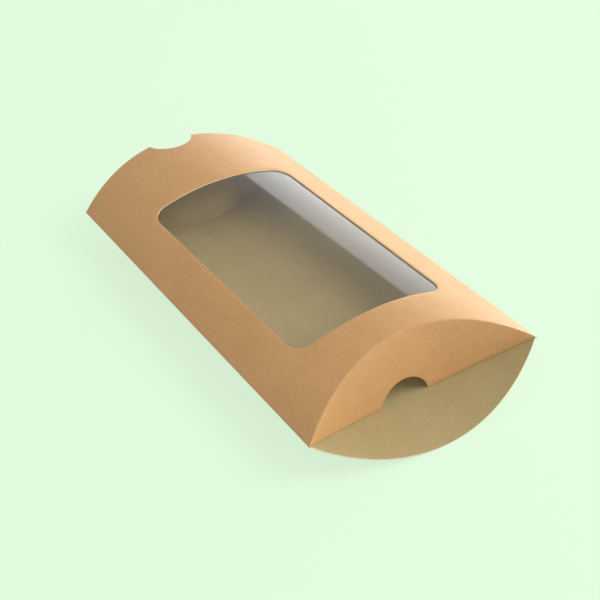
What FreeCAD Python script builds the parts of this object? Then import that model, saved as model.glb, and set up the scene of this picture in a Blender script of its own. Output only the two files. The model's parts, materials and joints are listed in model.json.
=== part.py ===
"""Pillow box with a clear window: one creased kraft board sleeve with four curved end flaps.

Millimetres, +Z up. The sleeve lies along Y with its near end at -Y and its window on top.
The origin is under the middle of the belly line, on the surface that the box rests on.
"""
import FreeCAD, Part
import math
import os

from FreeCAD import Vector

# Overall sizes of the sleeve
width = 100.0            # across the two side folds
length = 176.0           # between the corner points of the two ends
rise = 14.9              # height of each arched panel above the plane of the side folds

# Board, folds and flaps
board = 0.4              # thickness of the kraft board
crease_depth = 16.4      # how far a curved crease reaches in from the corner line
crease_gap = 0.15        # room between a panel and its flap along the crease
flap_clearance = 0.3     # room between a tucked flap's edge and the opposite panel
notch_radius = 11.0      # thumb notch in the front panel's flaps
notch_offset = 2.4       # notch centre beyond the middle of the flap's free edge

# Glued side seam
lap_width = 13.0         # glue flap, across its width
lap_end_setback = 6.0    # glue flap's end at the fold, in from the corner line
lap_taper = 8.0          # extra setback at the glue flap's free edge
seam_glue_thickness = 0.1
glue_gap = 0.03          # room on each side of a layer of glue
seam_glue_margin = 2.0   # bare border of the glue flap around its glue

# Window
window_width = 67.0      # measured round the arch
window_length = 111.0
window_corner = 6.8      # corner radius
film_thickness = 0.15
film_margin = 8.0        # film beyond the window's edge
film_glue_thickness = 0.08
film_glue_margin = 1.5   # bare border of the film and of the window round the glue

# Worked out from the sizes above
half_width = width / 2
half_length = length / 2
arch_radius = (half_width ** 2 + rise ** 2) / (2 * rise)
axis_drop = arch_radius - rise              # front arch's axis below the fold plane
slope = crease_depth / rise                 # crease plane: outward + slope * height = 0
lean = (slope ** 2 - 1) / (slope ** 2 + 1)  # outward part of a tucked flap's straight lines
fall = 2 * slope / (slope ** 2 + 1)         # downward part of the same lines
reach = 2 * (length + width)                # long enough to pass right through the box
mitre_depth = 4 * board                     # deep enough to pass right through a crease
flap_room = 4 * rise                        # deep enough to hold a whole tucked flap

UP = Vector(0, 0, 1)
ALONG = Vector(0, 1, 0)
ACROSS = Vector(1, 0, 0)
CENTRE = Vector(0, 0, rise)


def place(across, outward, height):
    """Point given from the near end's corner line: outward from it and above the fold plane."""
    return Vector(across, -(half_length + outward), rise + height)


def direction(outward, height):
    """Unit vector in the end's own outward and height directions."""
    return Vector(0, -outward, height).normalize()


RULING = direction(lean, -fall)        # straight lines of a tucked front flap, from its crease
FLAP_FACE = direction(fall, lean)      # outward face direction of that flap at its middle
CREASE_NORMAL = direction(1, slope)    # square to the crease plane, out of the box
CREASE_RISE = direction(-slope, 1)     # in the crease plane, from the corner line to the crease


def rod(radius, middle, axis):
    """Long cylinder whose axis passes through a point."""
    return Part.makeCylinder(radius, 2 * reach, middle - axis * reach, axis)


def tube(outer, thickness, middle, axis):
    return rod(outer, middle, axis).cut(rod(outer - thickness, middle, axis))


def half_space(point, normal):
    """Large block on the side of a plane that its normal points to."""
    block = Part.makeBox(2 * reach, 2 * reach, reach, Vector(-reach, -reach, 0))
    block.Placement = FreeCAD.Placement(point, FreeCAD.Rotation(UP, normal))
    return block


def rounded_plate(size_x, size_y, radius):
    """Upright block with rounded corners, used to cut outlines through the arch."""
    x0, y0 = size_x / 2, size_y / 2
    block = Part.makeBox(size_x, size_y, 2 * rise, Vector(-x0, -y0, rise))
    upright = [edge for edge in block.Edges if edge.tangentAt(edge.FirstParameter).cross(UP).Length < 1e-6]
    return block.makeFillet(radius, upright)


def chord(arc_width, radius):
    """Straight width of a strip that measures arc_width round an arch."""
    return 2 * radius * math.sin(arc_width / (2 * radius))


FRONT_AXIS = place(0, 0, -axis_drop)
BACK_AXIS = place(0, 0, axis_drop)


def crease_point(height):
    """Point of the crease plane on the sleeve's middle plane."""
    return place(0, -slope * height, height)


def crease_prism(inset, depth):
    """Inside of the crease curve, an ellipse in the crease plane, carried square into the box."""
    middle = crease_point(-axis_drop)
    tall = arch_radius * math.hypot(1, slope) - inset
    ellipse = Part.Ellipse(middle + CREASE_RISE * tall, middle + ACROSS * (arch_radius - inset), middle)
    return Part.Face(Part.Wire(ellipse.toShape())).extrude(CREASE_NORMAL * -depth)


def at_far_end(shape):
    return shape.rotated(CENTRE, UP, 180)


def on_back(shape):
    return shape.rotated(CENTRE, ALONG, 180)


def panel():
    """Arched front panel, mitred along its two curved creases."""
    end_cut = half_space(crease_point(0), CREASE_NORMAL).fuse(crease_prism(0, mitre_depth))
    sheet = tube(arch_radius, board, FRONT_AXIS, ALONG).common(half_space(CENTRE, UP))
    return sheet.cut(end_cut).cut(at_far_end(end_cut))


def tucked_flap():
    """Front flap folded in: its arch is turned over about the crease, so it bows into the box."""
    sheet = tube(arch_radius + board, board, crease_point(-axis_drop), RULING)
    sheet = sheet.common(crease_prism(crease_gap, flap_room))
    return sheet.common(rod(arch_radius - board - flap_clearance, BACK_AXIS, ALONG))


def open_flap():
    """The same flap unfolded, carrying the front panel's arch on past the crease."""
    sheet = tube(arch_radius, board, FRONT_AXIS, ALONG)
    sheet = sheet.common(half_space(crease_point(0) + CREASE_NORMAL * crease_gap, CREASE_NORMAL))
    return sheet.common(rod(arch_radius - board - flap_clearance, crease_point(axis_drop), RULING))


# Length of a flap down its middle line, from the crease to the free edge
flap_length = (2 * rise - board - flap_clearance) / fall
notch_distance = flap_length + notch_offset


def tucked_notch():
    return rod(notch_radius, crease_point(rise) + RULING * notch_distance, FLAP_FACE)


def open_notch():
    return rod(notch_radius, crease_point(rise) + direction(1, 0) * notch_distance, UP)


def lap(outer, thickness, across, end_setback, fold_setback):
    """Strip along the front panel's +X fold, inside its face, with tapered ends."""
    sheet = tube(outer, thickness, FRONT_AXIS, ALONG)
    sheet = sheet.common(rod(arch_radius - board, BACK_AXIS, ALONG))
    half_arc = arch_radius * math.asin(half_width / arch_radius)
    edge_x = chord(2 * (half_arc - across), arch_radius) / 2
    fold_x = half_width - fold_setback
    fold_y = half_length - end_setback
    edge_y = fold_y - lap_taper
    corners = [Vector(fold_x, -fold_y, 0), Vector(edge_x, -edge_y, 0),
               Vector(edge_x, edge_y, 0), Vector(fold_x, fold_y, 0)]
    outline = Part.makePolygon(corners + corners[:1])
    return sheet.common(Part.Face(outline).extrude(UP * 2 * rise))


# Outer radius of each layer under a panel: its glue, then what the glue holds
glue_radius = arch_radius - board - glue_gap
lap_radius = glue_radius - seam_glue_thickness - glue_gap
film_radius = glue_radius - film_glue_thickness - glue_gap

window_cut = rounded_plate(chord(window_width, arch_radius), window_length, window_corner)
front_panel = panel().cut(window_cut)
back_panel = on_back(panel())

near_front_flap = tucked_flap().cut(tucked_notch())
near_back_flap = on_back(open_flap())
far_front_flap = at_far_end(open_flap().cut(open_notch()))
far_back_flap = at_far_end(on_back(tucked_flap()))

glue_flap = on_back(lap(lap_radius, board, lap_width, lap_end_setback, 0))
seam_glue = on_back(lap(glue_radius, seam_glue_thickness, lap_width - seam_glue_margin,
                        lap_end_setback + seam_glue_margin, seam_glue_margin))


def film_outline(margin):
    """Window outline grown by a margin on the inside of the arch."""
    return rounded_plate(chord(window_width + 2 * margin, arch_radius), window_length + 2 * margin,
                         window_corner + margin)


window_film = tube(film_radius, film_thickness, FRONT_AXIS, ALONG).common(film_outline(film_margin))
film_glue = tube(glue_radius, film_glue_thickness, FRONT_AXIS, ALONG)
film_glue = film_glue.common(film_outline(film_margin - film_glue_margin)).cut(film_outline(film_glue_margin))

nodes = {
    "front_panel": front_panel,
    "back_panel": back_panel,
    "glue_flap": glue_flap,
    "near_front_flap": near_front_flap,
    "near_back_flap": near_back_flap,
    "far_front_flap": far_front_flap,
    "far_back_flap": far_back_flap,
    "window_film": window_film,
    "film_glue": film_glue,
    "seam_glue": seam_glue,
}

os.makedirs("parts", exist_ok=True)
for name, shape in nodes.items():
    print(name, len(shape.Solids), "solid", round(shape.Volume, 2), "mm3", shape.BoundBox)
    shape.Solids[0].exportStep("parts/" + name + ".step")
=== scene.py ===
"""Kraft board pillow box with a clear window: board, film, glue, floor, light and camera.

Metres, +Z up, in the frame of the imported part: the sleeve lies along Y, its near end at -Y.
Each piece of board is cut flat, as on the blank, given its thickness, and then bent into shape.
A flat point is given by its arc round the sleeve, its place along the sleeve and its depth in the board.
"""
import json
import math

import bpy
from mathutils import Matrix, Vector


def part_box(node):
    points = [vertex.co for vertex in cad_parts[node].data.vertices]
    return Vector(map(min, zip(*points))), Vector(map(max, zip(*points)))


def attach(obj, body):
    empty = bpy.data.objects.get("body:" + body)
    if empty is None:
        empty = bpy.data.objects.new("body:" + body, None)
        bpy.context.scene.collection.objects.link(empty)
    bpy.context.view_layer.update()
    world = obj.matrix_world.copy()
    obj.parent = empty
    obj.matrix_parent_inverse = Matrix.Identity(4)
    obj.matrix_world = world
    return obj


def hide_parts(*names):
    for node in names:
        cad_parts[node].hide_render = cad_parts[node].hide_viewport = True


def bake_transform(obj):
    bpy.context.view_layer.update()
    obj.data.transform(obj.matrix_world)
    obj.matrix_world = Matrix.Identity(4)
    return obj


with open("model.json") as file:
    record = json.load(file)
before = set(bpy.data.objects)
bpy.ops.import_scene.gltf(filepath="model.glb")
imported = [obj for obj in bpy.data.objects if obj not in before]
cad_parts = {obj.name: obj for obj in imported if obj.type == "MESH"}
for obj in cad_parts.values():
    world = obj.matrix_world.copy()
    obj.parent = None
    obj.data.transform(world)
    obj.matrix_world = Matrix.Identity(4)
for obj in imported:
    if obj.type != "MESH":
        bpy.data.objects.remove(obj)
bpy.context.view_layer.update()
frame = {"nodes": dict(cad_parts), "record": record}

MM = 0.001

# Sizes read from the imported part
joints = {joint["name"]: joint for joint in frame["record"]["behaviour"]["joints"]}
panel_low, panel_high = (Vector(corner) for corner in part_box("front_panel"))
half_width = panel_high.x
half_length = panel_high.y
fold_height = panel_low.z
rise = panel_high.z - panel_low.z
crease_depth = half_length - joints["far_front_crease"]["pos_m"][1]

# Sizes of the board and the film, as the part's source has them
BOARD = 0.4 * MM
FLAP_CLEARANCE = 0.3 * MM
NOTCH_RADIUS = 11 * MM
NOTCH_OFFSET = 2.4 * MM
WINDOW_WIDTH = 67 * MM
WINDOW_LENGTH = 111 * MM
WINDOW_CORNER = 6.8 * MM
FILM_MARGIN = 8 * MM
FILM_THICKNESS = 0.15 * MM
LAP_WIDTH = 13 * MM
LAP_SETBACK = 6 * MM
LAP_TAPER = 8 * MM
LAP_DEPTH = BOARD + 0.16 * MM

# Small forms that only the looks need
FILM_DEPTH = BOARD + 0.05 * MM
LAP_FOLD_GAP = 1.6 * MM
FOLD_RADIUS = 0.3 * MM
FOLD_REACH = 4 * MM
SCORE_DEPTH = 0.16 * MM
SCORE_WIDTH = 0.8 * MM
MITRE = 0.4 * MM
MITRE_REACH = 3 * MM
TIP_HEIGHT = 0.45 * MM
EDGE_BEVEL = 0.12 * MM
WINDOW_BEVEL = 0.3 * MM
SMOOTH_ANGLE = math.radians(35)

# Places of the finishes on a piece of board
OUTSIDE = 0
INSIDE = 1
CUT = 2

# The two ends of the sleeve along Y
NEAR = -1
FAR = 1

# Points closer than this are one point, and rims closer than this to a fold lie on it
SAME_POINT = 0.001 * MM
SAME_FOLD = 0.02 * MM

# Shift on the blank between the front and the back, so that their fibres differ
BACK_SHIFT = Vector((0.3, 0))

# The arch: its outer and inner half angles, with a small roll where the two panels meet
arch_radius = (half_width ** 2 + rise ** 2) / (2 * rise)
axis_drop = arch_radius - rise
roll_centre = math.sqrt((arch_radius - FOLD_RADIUS) ** 2 - axis_drop ** 2)
roll_angle = math.atan2(roll_centre, axis_drop)
roll_start = arch_radius * roll_angle
half_arc = roll_start + FOLD_RADIUS * (math.pi / 2 - roll_angle)
inner_radius = arch_radius - BOARD
inner_angle = math.acos(axis_drop / inner_radius)
tip_arc = arch_radius * math.acos((axis_drop + TIP_HEIGHT) / arch_radius)

# The crease plane, and the straight lines of a flap that is turned over about it
slope = crease_depth / rise
lean = (slope ** 2 - 1) / (slope ** 2 + 1)
fall = 2 * slope / (slope ** 2 + 1)
CREASE_NORMAL = Vector((0, -1, slope)).normalized()
RULING = Vector((0, -lean, -fall))
flap_length = (2 * rise - BOARD - FLAP_CLEARANCE) / fall


def arch(arc):
    """Place across and height above the fold plane, of a point on the outside of the arch."""
    size = abs(arc)
    if size <= roll_start:
        turn = size / arch_radius
        across, height = arch_radius * math.sin(turn), arch_radius * math.cos(turn) - axis_drop
    else:
        turn = roll_angle + (size - roll_start) / FOLD_RADIUS
        across, height = roll_centre + FOLD_RADIUS * math.sin(turn), FOLD_RADIUS * math.cos(turn)
    return math.copysign(across, arc), height


def inner_arch(arc):
    """The same on the inside of the board, which is shorter near the side folds."""
    start = half_arc - FOLD_REACH
    turn = min(abs(arc), start) / arch_radius
    turn += (inner_angle - start / arch_radius) * max(0, abs(arc) - start) / FOLD_REACH
    return math.copysign(inner_radius * math.sin(turn), arc), inner_radius * math.cos(turn) - axis_drop


def crease_line(arc):
    """Distance of the curved crease from the middle of the sleeve."""
    return half_length - slope * arch(arc)[1]


def score(distance):
    """Roll of the board into its crease."""
    return SCORE_DEPTH * max(0, 1 - distance / SCORE_WIDTH) ** 2


def mitred(distance):
    """Distance from the crease on the inside of the board, where the fold needs room."""
    return distance + MITRE * max(0, 1 - distance / MITRE_REACH)


def bend_panel(tucked_end):
    """Bending of the arched front panel, whose board is mitred at the end with a tucked flap."""
    def bend(arc, along, depth):
        end = math.copysign(1, along)
        distance = crease_line(arc) - abs(along)
        across, height = arch(arc)
        dip = CREASE_NORMAL * score(distance)
        outside = Vector((across, along + end * dip.y, fold_height + height - dip.z))
        across, height = inner_arch(arc)
        reach = crease_line(arc) - (mitred(distance) if end == tucked_end else distance)
        inside = Vector((across, end * reach, fold_height + height))
        return outside.lerp(inside, -depth / BOARD)
    return bend


def bend_open(arc, along, depth):
    """Place of a point of the near flap while the flap is open."""
    distance = -along - crease_line(arc)
    across, height = arch(arc)
    outside = Vector((across, along, fold_height + height)) - CREASE_NORMAL * score(distance)
    across, height = inner_arch(arc)
    inside = Vector((across, along, fold_height + height))
    return outside.lerp(inside, -depth / BOARD)


def bend_tucked(arc, along, depth):
    """Place of a point of the near flap once the flap is turned over about its crease."""
    distance = -along - crease_line(arc)
    across, height = arch(arc)
    crease = Vector((across, -crease_line(arc), fold_height + height))
    turn = arc / arch_radius
    upright = Vector((math.sin(turn), 0, math.cos(turn)))
    face = 2 * upright.dot(CREASE_NORMAL) * CREASE_NORMAL - upright
    outside = crease + RULING * distance - CREASE_NORMAL * score(distance)
    inside = crease + RULING * mitred(distance) - face * BOARD
    return outside.lerp(inside, -depth / BOARD)


def bend_layer(outer_depth):
    """Bending of a layer that lies under the front panel, with its outer face at a depth."""
    def bend(arc, along, depth):
        radius = arch_radius - outer_depth + depth
        turn = arc / arch_radius
        return Vector((radius * math.sin(turn), along, fold_height + radius * math.cos(turn) - axis_drop))
    return bend


def blank(name, columns, rows, layout):
    """Flat sheet: a grid whose points are laid out on the blank, which the UV map keeps."""
    bpy.ops.object.select_all(action="DESELECT")
    bpy.ops.mesh.primitive_grid_add(x_subdivisions=columns, y_subdivisions=rows, size=1)
    piece = bpy.context.object
    piece.name = piece.data.name = name
    mesh = piece.data
    mesh.uv_layers.active.name = "blank"
    for point in mesh.vertices:
        arc, along = layout(point.co.x + 0.5, point.co.y + 0.5)
        point.co = Vector((arc, along, 0))
    for corner in mesh.loops:
        mesh.uv_layers.active.uv[corner.index].vector = mesh.vertices[corner.vertex_index].co.xy
    bpy.ops.object.mode_set(mode="EDIT")
    bpy.ops.mesh.select_all(action="SELECT")
    bpy.ops.mesh.remove_doubles(threshold=SAME_POINT)
    bpy.ops.mesh.normals_make_consistent(inside=False)
    bpy.ops.object.mode_set(mode="OBJECT")
    if mesh.polygons[0].normal.z < 0:
        mesh.flip_normals()
    return piece


def thicken(piece, thickness, materials):
    """Gives a flat sheet its thickness, with its own finish inside and on its rim."""
    for material in materials:
        piece.data.materials.append(material)
    wall = piece.modifiers.new("thickness", "SOLIDIFY")
    wall.thickness = thickness
    wall.offset = -1
    wall.material_offset = min(1, len(materials) - 1)
    wall.material_offset_rim = len(materials) - 1
    bpy.ops.object.modifier_apply(modifier=wall.name)


def on_fold(place):
    """True on a side fold or a crease, where the board goes on past a piece's rim."""
    gap = min(abs(abs(place.y) - crease_line(place.x)), abs(half_arc - abs(place.x)))
    return gap < SAME_FOLD


def finish_rims(piece, bevel, bevel_finish):
    """Rounds the outer cut edges a little, and gives the rims at folds the inside's finish."""
    mesh = piece.data
    bpy.ops.object.mode_set(mode="EDIT")
    bpy.ops.mesh.select_mode(type="EDGE")
    bpy.ops.mesh.select_all(action="DESELECT")
    bpy.ops.object.mode_set(mode="OBJECT")
    cut_edges = set()
    for face in mesh.polygons:
        if face.material_index == CUT and on_fold(face.center):
            face.material_index = INSIDE
        elif face.material_index == CUT:
            cut_edges.update(face.edge_keys)
    for edge in mesh.edges:
        top = all(abs(mesh.vertices[point].co.z) < SAME_POINT for point in edge.vertices)
        edge.select = top and edge.key in cut_edges
    bpy.ops.object.mode_set(mode="EDIT")
    bpy.ops.mesh.bevel(offset=bevel, segments=2, affect="EDGES", material=bevel_finish, clamp_overlap=True)
    bpy.ops.object.mode_set(mode="OBJECT")


def fold(piece, bend, far=False, back=False):
    """Bends a flat piece, then turns it round to its own end and side of the sleeve."""
    for point in piece.data.vertices:
        point.co = bend(*point.co)
    centre = Matrix.Translation((0, 0, fold_height))
    turn = Matrix.Rotation(math.pi * far, 4, "Z") @ Matrix.Rotation(math.pi * back, 4, "Y")
    piece.data.transform(centre @ turn @ centre.inverted())
    for corner in piece.data.uv_layers.active.uv:
        if far:
            corner.vector = -corner.vector
        if back:
            corner.vector = corner.vector + BACK_SHIFT
    bpy.ops.object.shade_smooth_by_angle(angle=SMOOTH_ANGLE)
    piece.data.update()


# Points of each sheet's grid, across and along; a notched flap's columns are a multiple of six
PANEL_COLUMNS = 64
PANEL_ROWS = 64
LAP_COLUMNS = 10
LAP_ROWS = 60
FILM_COLUMNS = 48
FILM_ROWS = 64
PLAIN_FLAP_COLUMNS = 72
NOTCHED_FLAP_COLUMNS = 96
FLAP_ROWS = 44

# How strongly the grid's lines crowd together towards a fold, a crease or an end
PANEL_FOLD_CROWDING = 1.6
PANEL_CREASE_CROWDING = 2
FLAP_TIP_CROWDING = 1.3
FLAP_CREASE_CROWDING = 3
FILM_END_CROWDING = 1.5

# The window panel's grid runs in rings: columns on each side of the window, and rows out to the rim
SIDE_COLUMNS = 48
RING_COLUMNS = 4 * SIDE_COLUMNS
STRAIGHT_SHARE = 0.75
OPEN_ROWS = 10
RIM_ROWS = [1.5 * MM, 0.9 * MM, 0.5 * MM, 0.25 * MM, 0.08 * MM, 0]
RING_ROWS = OPEN_ROWS + len(RIM_ROWS) - 1

# Length of a flap, from its crease, over which its rows also have an even step
EVEN_ROWS = 10 * MM


def panel_layout(across, along):
    """Plain panel: rows crowd towards its two creases, and columns towards its side folds."""
    side = 2 * across - 1
    end = 2 * along - 1
    arc = math.copysign(half_arc * (1 - (1 - abs(side)) ** PANEL_FOLD_CROWDING), side)
    share = 1 - (1 - abs(end)) ** PANEL_CREASE_CROWDING
    return arc, math.copysign(share * crease_line(arc), end)


def window_edge(side, share):
    """Point of the window's rounded outline, on one of its four sides."""
    half_sizes = (WINDOW_WIDTH / 2, WINDOW_LENGTH / 2)
    run, out = half_sizes if side % 2 == 0 else half_sizes[::-1]
    size = abs(share)
    if size <= STRAIGHT_SHARE:
        run = (run - WINDOW_CORNER) * size / STRAIGHT_SHARE
    else:
        turn = math.pi / 4 * (size - STRAIGHT_SHARE) / (1 - STRAIGHT_SHARE)
        run += WINDOW_CORNER * (math.sin(turn) - 1)
        out += WINDOW_CORNER * (math.cos(turn) - 1)
    return math.copysign(run, share), out


def panel_edge(side, share, inset):
    """Point of the panel's outline, a little way in from it."""
    if side % 2 == 0:
        run = share * (half_arc - inset)
        return run, crease_line(run) - inset
    return share * (crease_line(half_arc - inset) - inset), half_arc - inset


def window_panel_layout(round_share, row_share):
    """Panel with a window: columns run round the window, rows from its edge out to the rim."""
    column = round(round_share * RING_COLUMNS) % RING_COLUMNS
    row = round(row_share * RING_ROWS)
    side, step = divmod(column, SIDE_COLUMNS)
    share = 2 * step / SIDE_COLUMNS - 1
    run, out = window_edge(side, share)
    edge_run, edge_out = panel_edge(side, share, RIM_ROWS[max(0, row - OPEN_ROWS)])
    mix = min(1, row / OPEN_ROWS)
    run += mix * (edge_run - run)
    out += mix * (edge_out - out)
    return ((run, -out), (out, run), (-run, out), (-out, -run))[side]


def free_edge(arc):
    """Length of a flap from its crease to its free edge."""
    return (2 * arch(arc)[1] - BOARD - FLAP_CLEARANCE) / fall


def notch_edge(arc):
    """Length of a flap from its crease to the edge of its thumb notch."""
    middle = flap_length + NOTCH_OFFSET + slope * (arch(arc)[1] - rise)
    return middle - math.sqrt(max(0, NOTCH_RADIUS ** 2 - arc ** 2))


def notch_half_turn():
    """Half of the angle that the notch takes up, found in steps, where its arc meets the free edge."""
    turn = math.pi / 2
    for _ in range(8):
        drop = (2 / fall - slope) * (rise - arch(NOTCH_RADIUS * math.sin(turn))[1])
        turn = math.acos((NOTCH_OFFSET + drop) / NOTCH_RADIUS)
    return turn


notch_turn = notch_half_turn()
notch_half_width = NOTCH_RADIUS * math.sin(notch_turn)


def flap_row(reach, share):
    """Distance of a row of points from the crease: short steps there, and longer ones to the free edge."""
    even = min(EVEN_ROWS, reach / 2)
    return even * share + (reach - even) * share ** FLAP_CREASE_CROWDING


def flap_layout(across, along):
    """Near flap with a plain free edge."""
    side = 2 * across - 1
    arc = math.copysign(tip_arc * (1 - (1 - abs(side)) ** FLAP_TIP_CROWDING), side)
    return arc, -crease_line(arc) - flap_row(free_edge(arc), 1 - along)


def notched_flap_layout(across, along):
    """Near flap with a thumb notch: the middle third of its columns lies in the notch."""
    third = 6 * abs(across - 0.5)
    if third <= 1:
        arc = NOTCH_RADIUS * math.sin(notch_turn * third)
        reach = notch_edge(arc)
    else:
        arc = notch_half_width + (tip_arc - notch_half_width) * (third - 1) / 2
        reach = free_edge(arc)
    arc = math.copysign(arc, across - 0.5)
    return arc, -crease_line(arc) - flap_row(reach, 1 - along)


def film_layout(across, along):
    """Film with rounded corners, larger than the window all round."""
    half_film = WINDOW_LENGTH / 2 + FILM_MARGIN
    corner = WINDOW_CORNER + FILM_MARGIN
    end = 2 * along - 1
    run = half_film * (1 - (1 - abs(end)) ** FILM_END_CROWDING)
    past = max(0, run - half_film + corner)
    half_row = WINDOW_WIDTH / 2 + FILM_MARGIN - corner + math.sqrt(corner ** 2 - past ** 2)
    return (2 * across - 1) * half_row, math.copysign(run, end)


def lap_layout(across, along):
    """Glue flap along the +X side of the front arch, its ends tapered."""
    arc = half_arc - LAP_WIDTH + (LAP_WIDTH - LAP_FOLD_GAP) * across
    half_row = half_length - LAP_SETBACK - LAP_TAPER * (1 - across)
    return arc, (2 * along - 1) * half_row


class Wire:
    """One shader socket, whose arithmetic adds Math nodes to its material."""

    def __init__(self, finish, socket):
        self.finish = finish
        self.socket = socket

    def math(self, operation, first, second):
        return self.finish.add("ShaderNodeMath", {"operation": operation}, {0: first, 1: second})

    def __add__(self, other):
        return self.math("ADD", self, other)

    def __radd__(self, other):
        return self.math("ADD", other, self)

    def __sub__(self, other):
        return self.math("SUBTRACT", self, other)

    def __rsub__(self, other):
        return self.math("SUBTRACT", other, self)

    def __mul__(self, other):
        return self.math("MULTIPLY", self, other)

    def __rmul__(self, other):
        return self.math("MULTIPLY", other, self)

    def __pow__(self, other):
        return self.math("POWER", self, other)


class Finish:
    """Node tree of a material or the world, with one method that adds any node."""

    def __init__(self, tree):
        self.tree = tree
        self.tree.nodes.clear()

    def add(self, kind, settings, sockets=None, out=0):
        """New node with its settings, and the values or links of its sockets; gives one of its outputs."""
        node = self.tree.nodes.new(kind)
        for name, value in settings.items():
            setattr(node, name, value)
        for name, value in (sockets or {}).items():
            if isinstance(value, Wire):
                self.tree.links.new(value.socket, node.inputs[name])
            else:
                node.inputs[name].default_value = value
        return Wire(self, node.outputs[out]) if node.outputs else None

    def ramp(self, value, low, high):
        """Value stretched from low and high to 0 and 1, and kept between them."""
        return self.add("ShaderNodeMapRange", {"clamp": True},
                        {"Value": value, "From Min": low, "From Max": high})

    def mix(self, share, first, second):
        """Mix of two colours."""
        return self.add("ShaderNodeMix", {"data_type": "RGBA"}, {0: share, 6: first, 7: second}, out=2)

    def noise(self, place, scale, detail, roughness=0.5):
        """Cloudy noise between 0 and 1."""
        sockets = {"Vector": place, "Scale": scale, "Detail": detail, "Roughness": roughness}
        return self.add("ShaderNodeTexNoise", {}, sockets)

    def grain(self, place, size, detail, roughness=0.5):
        """Noise on the blank, whose grains have a size across and along it."""
        scale = (1 / size[0], 1 / size[1], 1)
        stretched = self.add("ShaderNodeMapping", {}, {"Vector": place, "Scale": scale})
        return self.noise(stretched, 1, detail, roughness)


def srgb(red, green, blue):
    """Linear colour of an 8-bit display colour."""
    def linear(level):
        level /= 255
        return level / 12.92 if level <= 0.04045 else ((level + 0.055) / 1.055) ** 2.4
    return (linear(red), linear(green), linear(blue), 1)


def new_material(name):
    """Empty material and its node tree."""
    material = bpy.data.materials.new(name)
    material.use_nodes = True
    return material, Finish(material.node_tree)


# Sizes of the board's grain, across and along the blank
FIBRE_SIZE = (0.35 * MM, 3.5 * MM)
HAIR_SIZE = (0.2 * MM, 1.1 * MM)
PULP_SIZE = (0.45 * MM, 0.45 * MM)
CLOUD_SIZE = (14 * MM, 22 * MM)
SPECK_SIZE = (0.6 * MM, 0.9 * MM)
THREAD_SIZE = (0.35 * MM, 2.6 * MM)
KRAFT_RELIEF = 0.05 * MM

# Levels of the grain at which the board has its dark, base and pale tone
DARK_LEVEL = 0.38
BASE_LEVEL = 0.5
PALE_LEVEL = 0.62


def kraft(name, pale, base, dark, speck, speck_share, roughness, bump):
    """Uncoated kraft board: fine fibres down the sheet, faint clouds, dark specks and pale threads."""
    material, finish = new_material(name)
    place = finish.add("ShaderNodeUVMap", {"uv_map": "blank"})
    fibres = finish.grain(place, FIBRE_SIZE, 4, 0.6)
    hairs = finish.grain(place, HAIR_SIZE, 3, 0.65)
    pulp = finish.grain(place, PULP_SIZE, 3, 0.7)
    clouds = finish.grain(place, CLOUD_SIZE, 4, 0.6)
    specks = finish.grain(place, SPECK_SIZE, 1, 0.4)
    threads = finish.grain(place, THREAD_SIZE, 2, 0.5)
    tone = 0.32 * fibres + 0.26 * hairs + 0.26 * pulp + 0.16 * clouds
    colour = finish.mix(finish.ramp(tone, DARK_LEVEL, BASE_LEVEL), dark, base)
    colour = finish.mix(finish.ramp(tone, BASE_LEVEL, PALE_LEVEL), colour, pale)
    colour = finish.mix(speck_share * finish.ramp(specks, 0.7, 0.78), colour, speck)
    colour = finish.mix(0.6 * speck_share * finish.ramp(threads, 0.68, 0.76), colour, pale)
    relief = 0.5 * fibres + 0.3 * hairs + 0.4 * pulp
    normal = finish.add("ShaderNodeBump", {}, {"Strength": bump, "Distance": KRAFT_RELIEF, "Height": relief})
    rough = roughness + 0.15 * (pulp - 0.5)
    surface = finish.add("ShaderNodeBsdfPrincipled", {},
                         {"Base Color": colour, "Roughness": rough, "Normal": normal,
                          "Specular IOR Level": 0.25})
    finish.add("ShaderNodeOutputMaterial", {}, {"Surface": surface})
    return material


outer_kraft = kraft("outer_kraft", pale=srgb(213, 167, 115), base=srgb(202, 156, 104),
                    dark=srgb(187, 141, 91), speck=srgb(132, 96, 58),
                    speck_share=0.55, roughness=0.4, bump=0.25)
inner_kraft = kraft("inner_kraft", pale=srgb(184, 166, 120), base=srgb(174, 156, 111),
                    dark=srgb(162, 144, 100), speck=srgb(130, 110, 72),
                    speck_share=0.35, roughness=0.7, bump=0.3)
cut_edge = kraft("cut_edge", pale=srgb(240, 224, 188), base=srgb(230, 210, 170),
                 dark=srgb(214, 190, 148), speck=srgb(170, 138, 96),
                 speck_share=0.3, roughness=0.8, bump=0.35)
board_finishes = (outer_kraft, inner_kraft, cut_edge)

# The film's slow waves, dust and smears, across and along it
WAVE_SIZE = (26 * MM, 60 * MM)
WAVE_HEIGHT = 0.4 * MM
DUST_SIZE = (0.5 * MM, 0.8 * MM)
SMEAR_SIZE = (9 * MM, 40 * MM)

# The film's mirror seen straight on, what is added at a low angle, and how late that comes
FACING_GLOSS = 0.022
GRAZING_GLOSS = 1.72
GRAZING_POWER = 5
DUST_GLOSS = 0.03


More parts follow.
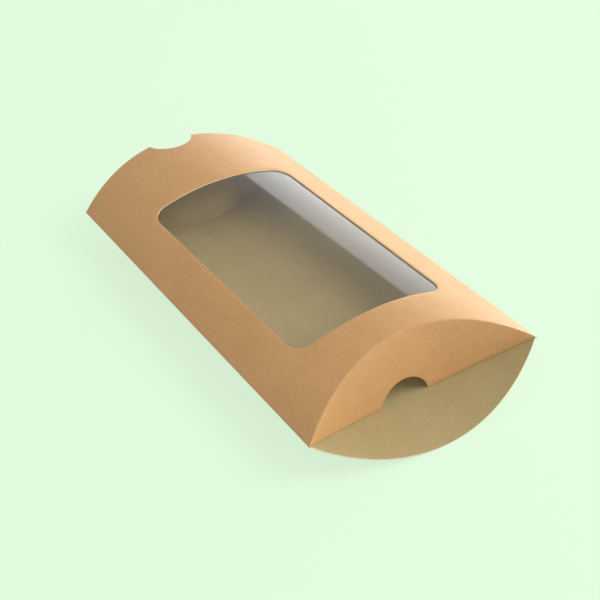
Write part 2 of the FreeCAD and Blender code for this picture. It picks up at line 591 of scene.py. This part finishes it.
def clear_film_material():
    """Thin clear film: see-through, with a mirror-like face that grows stronger at a low angle."""
    material, finish = new_material("clear_film")
    place = finish.add("ShaderNodeUVMap", {"uv_map": "blank"})
    waves = finish.grain(place, WAVE_SIZE, 1)
    dust = finish.grain(place, DUST_SIZE, 2)
    smears = finish.grain(place, SMEAR_SIZE, 1)
    normal = finish.add("ShaderNodeBump", {}, {"Strength": 0.3, "Distance": WAVE_HEIGHT, "Height": waves})
    facing = finish.add("ShaderNodeLayerWeight", {}, {"Blend": 0.5}, out=1)
    dusty = finish.ramp(dust, 0.68, 0.8)
    gloss = FACING_GLOSS + GRAZING_GLOSS * facing ** GRAZING_POWER + DUST_GLOSS * dusty
    clear = finish.add("ShaderNodeBsdfTransparent", {}, {"Color": (1, 1, 1, 1)})
    mirror = finish.add("ShaderNodeBsdfPrincipled", {},
                        {"Base Color": (0.95, 0.95, 0.95, 1), "Metallic": 1,
                         "Roughness": 0.04 + 0.05 * smears, "Normal": normal})
    surface = finish.add("ShaderNodeMixShader", {}, {0: gloss, 1: clear, 2: mirror})
    finish.add("ShaderNodeOutputMaterial", {}, {"Surface": surface})
    return material


# The glue's clouds and beads
GLUE_CLOUD = 4 * MM
GLUE_BEAD = 0.6 * MM
GLUE_RELIEF = 0.03 * MM


def glue_material():
    """Dried white glue, slightly yellow and uneven."""
    material, finish = new_material("dried_glue")
    place = finish.add("ShaderNodeTexCoord", {}, out=3)
    clouds = finish.noise(place, 1 / GLUE_CLOUD, 3)
    beads = finish.noise(place, 1 / GLUE_BEAD, 2)
    colour = finish.mix(finish.ramp(clouds, 0.35, 0.65), srgb(214, 200, 166), srgb(236, 228, 204))
    normal = finish.add("ShaderNodeBump", {}, {"Strength": 0.4, "Distance": GLUE_RELIEF, "Height": beads})
    surface = finish.add("ShaderNodeBsdfPrincipled", {},
                         {"Base Color": colour, "Roughness": 0.35 + 0.2 * beads, "Normal": normal})
    finish.add("ShaderNodeOutputMaterial", {}, {"Surface": surface})
    return material


def flat_board(node, columns, rows, layout, rim=(EDGE_BEVEL, CUT)):
    """Piece of board that stands for a node of the part, before it is bent."""
    piece = blank(node + "_board", columns, rows, layout)
    thicken(piece, BOARD, board_finishes)
    finish_rims(piece, *rim)
    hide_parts(node)
    return piece


# The sleeve
front_panel = flat_board("front_panel", RING_COLUMNS, RING_ROWS, window_panel_layout,
                         rim=(WINDOW_BEVEL, OUTSIDE))
fold(front_panel, bend_panel(NEAR))
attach(front_panel, "sleeve")

back_panel = flat_board("back_panel", PANEL_COLUMNS, PANEL_ROWS, panel_layout)
fold(back_panel, bend_panel(FAR), back=True)
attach(back_panel, "sleeve")

glue_flap = flat_board("glue_flap", LAP_COLUMNS, LAP_ROWS, lap_layout)
fold(glue_flap, bend_layer(LAP_DEPTH), back=True)
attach(glue_flap, "sleeve")

window_film = blank("window_film_sheet", FILM_COLUMNS, FILM_ROWS, film_layout)
thicken(window_film, FILM_THICKNESS, (clear_film_material(),))
fold(window_film, bend_layer(FILM_DEPTH))
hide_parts("window_film")
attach(window_film, "sleeve")

# The two lines of glue keep the part's own solids
dried_glue = glue_material()
for node in ("film_glue", "seam_glue"):
    frame["nodes"][node].data.materials.clear()
    frame["nodes"][node].data.materials.append(dried_glue)

# Turn of a flap about its hinge, and the room between a closing flap and the tucked one inside it
crease_angle = math.atan2(1, slope)
full_turn = 2 * crease_angle
CLOSED_GAP = BOARD + 0.1 * MM

# Points this near to the crease stay on the sleeve, and a share nears the full turn this gently
CREASE_SEAM = 0.01 * MM
FULL_TURN_EASE = 0.04


def crease_place(arc, along):
    """Drop of the crease below its middle, and a flap point's distance from the crease."""
    return rise - arch(arc)[1], -along - crease_line(arc)


def opening_share(arc, along, _depth):
    """Share of the full turn that takes a point of a tucked flap to its place on the open flap."""
    drop, distance = crease_place(arc, along)
    if distance < CREASE_SEAM:
        return 0
    return 1 - math.atan2(drop, slope * drop + distance) / crease_angle


def closing_share(arc, along, depth):
    """The same for an open flap, which closes round the other panel's tucked flap."""
    drop, distance = crease_place(arc, along)
    if distance < CREASE_SEAM:
        return 0
    outward = slope * drop + distance
    reach = math.hypot(outward, drop)
    tucked_face = fall * (slope * drop + CLOSED_GAP) + lean * (2 * rise - drop)
    turn = math.acos(min(1, tucked_face / reach)) + math.asin(lean) - math.atan2(drop, outward)
    inner_lead = -depth / reach * (arc / tip_arc) ** 2
    short = 1 - (max(0, turn) + inner_lead) / full_turn
    return max(0, 1 - (short + math.hypot(short, FULL_TURN_EASE)) / 2)


def flap(node, columns, layout, bend, share, body, far=False, back=False):
    """Flap bent into its place on the sleeve; each point's share of the hinge's turn, and the crease's
    place, are worked out but not used.
    """
    piece = flat_board(node, columns, FLAP_ROWS, layout)
    shares = [share(*point.co) for point in piece.data.vertices]
    fold(piece, bend, far, back)
    crease = Vector(joints[body + "_crease"]["pos_m"])
    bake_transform(piece)


# The four flaps
flap("near_front_flap", NOTCHED_FLAP_COLUMNS, notched_flap_layout, bend_tucked, opening_share, "near_front")
flap("near_back_flap", PLAIN_FLAP_COLUMNS, flap_layout, bend_open, closing_share, "near_back", back=True)
flap("far_front_flap", NOTCHED_FLAP_COLUMNS, notched_flap_layout, bend_open, closing_share, "far_front",
     far=True)
flap("far_back_flap", PLAIN_FLAP_COLUMNS, flap_layout, bend_tucked, opening_share, "far_back",
     far=True, back=True)

# Pale floor: its own colour to the eye, a plain bounce for the light, and the backdrop's colour far off
FLOOR_SIZE = 6
FLOOR_BOUNCE = (0.75, 0.75, 0.75, 1)
FLOOR_COLOUR = srgb(212, 235, 208)
FLOOR_GLOW = 0.8
FLOOR_FADE = (0.5, 1.0)
BACKDROP = srgb(230, 255, 226)

bpy.ops.object.select_all(action="DESELECT")
bpy.ops.mesh.primitive_plane_add(size=FLOOR_SIZE)
floor = bpy.context.object
floor.name = "floor"
floor_material, floor_finish = new_material("pale_floor")
seen = floor_finish.add("ShaderNodeLightPath", {}, out="Is Camera Ray")
mirrored = floor_finish.add("ShaderNodeLightPath", {}, out="Is Glossy Ray")
passed = floor_finish.add("ShaderNodeLightPath", {}, out="Is Transmission Ray")
shown = floor_finish.add("ShaderNodeMath", {"operation": "MAXIMUM"}, {0: seen, 1: mirrored + passed})
floor_colour = floor_finish.mix(shown, FLOOR_BOUNCE, FLOOR_COLOUR)
matte = floor_finish.add("ShaderNodeBsdfDiffuse", {}, {"Color": floor_colour})
glow = floor_finish.add("ShaderNodeEmission", {}, {"Color": BACKDROP, "Strength": 1})
floor_place = floor_finish.add("ShaderNodeTexCoord", {}, out=3)
floor_reach = floor_finish.add("ShaderNodeVectorMath", {"operation": "LENGTH"}, {0: floor_place},
                               out="Value")
far_off = floor_finish.ramp(floor_reach, *FLOOR_FADE)
glow_share = shown * (FLOOR_GLOW + (1 - FLOOR_GLOW) * far_off)
lit = floor_finish.add("ShaderNodeMixShader", {}, {0: glow_share, 1: matte, 2: glow})
floor_finish.add("ShaderNodeOutputMaterial", {}, {"Surface": lit})
floor.data.materials.append(floor_material)

# World: even studio light, with the backdrop's colour behind everything
SKY_LEVEL = 0.56

world = bpy.data.worlds.new("studio")
world.use_nodes = True
bpy.context.scene.world = world
studio = Finish(world.node_tree)
sky_seen = studio.add("ShaderNodeLightPath", {}, out="Is Camera Ray")
even_light = studio.add("ShaderNodeBackground", {}, {"Color": (1, 1, 1, 1), "Strength": SKY_LEVEL})
backdrop = studio.add("ShaderNodeBackground", {}, {"Color": BACKDROP, "Strength": 1})
sky = studio.add("ShaderNodeMixShader", {}, {0: sky_seen, 1: even_light, 2: backdrop})
studio.add("ShaderNodeOutputWorld", {}, {"Surface": sky})


def around(azimuth, elevation, distance):
    """Place seen from the middle of the box: azimuth from +Y towards +X, both angles in degrees."""
    turn, lift = math.radians(azimuth), math.radians(elevation)
    return Vector((distance * math.sin(turn) * math.cos(lift), distance * math.cos(turn) * math.cos(lift),
                   fold_height + distance * math.sin(lift)))


def softbox(name, place, size, power, roll=0):
    """Soft lamp that faces the middle of the box, turned about its own axis by some degrees."""
    bpy.ops.object.light_add(type="AREA", location=place)
    lamp = bpy.context.object
    lamp.name = name
    lamp.data.shape = "RECTANGLE"
    lamp.data.size, lamp.data.size_y = size
    lamp.data.energy = power
    facing = (place - box_middle).to_track_quat("Z", "Y").to_matrix()
    lamp.rotation_euler = (facing @ Matrix.Rotation(math.radians(roll), 3, "Z")).to_euler()


# Lamps: one that the film mirrors, low ones for the edges of the arch, and the main one
box_middle = Vector((0, 0, fold_height))
softbox("window_softbox", around(36, 10.8, 1.0), (1.0, 0.36), 1.07, roll=-12)
softbox("low_softbox", around(40, 2, 1.0), (1.4, 0.05), 1.9)
softbox("side_softbox", around(84, 4, 1.0), (0.5, 0.12), 7.5)
softbox("front_softbox", around(170, 9, 1.2), (0.7, 0.3), 1.8)
softbox("key_softbox", around(130, 44, 1.2), (0.8, 0.6), 8.8)

# Camera at the photograph's place: turned round the box's middle, rolled, then shifted across the view
CAMERA_AZIMUTH = math.radians(-32.552)
CAMERA_ELEVATION = math.radians(36.704)
CAMERA_ROLL = math.radians(-1.485)
CAMERA_DISTANCE = 412.03 * MM
CAMERA_ASIDE = 3.799 * MM
CAMERA_DOWN = 12.466 * MM
CAMERA_LENS = 61.754
CAMERA_SENSOR = 36
CAMERA_NEAREST = 10 * MM

backward = Vector((math.sin(CAMERA_AZIMUTH) * math.cos(CAMERA_ELEVATION),
                   -math.cos(CAMERA_AZIMUTH) * math.cos(CAMERA_ELEVATION), math.sin(CAMERA_ELEVATION)))
level = Vector((0, 0, 1)).cross(backward).normalized()
right = Matrix.Rotation(CAMERA_ROLL, 3, backward) @ level
up = backward.cross(right)
stand = box_middle + CAMERA_DISTANCE * backward + CAMERA_ASIDE * right - CAMERA_DOWN * up

bpy.ops.object.camera_add(location=stand)
camera = bpy.context.object
camera.rotation_euler = Matrix((right, up, backward)).transposed().to_euler()
camera.data.lens = CAMERA_LENS
camera.data.sensor_width = CAMERA_SENSOR
camera.data.clip_start = CAMERA_NEAREST
bpy.context.scene.camera = camera
bpy.context.scene.view_settings.view_transform = "Standard"
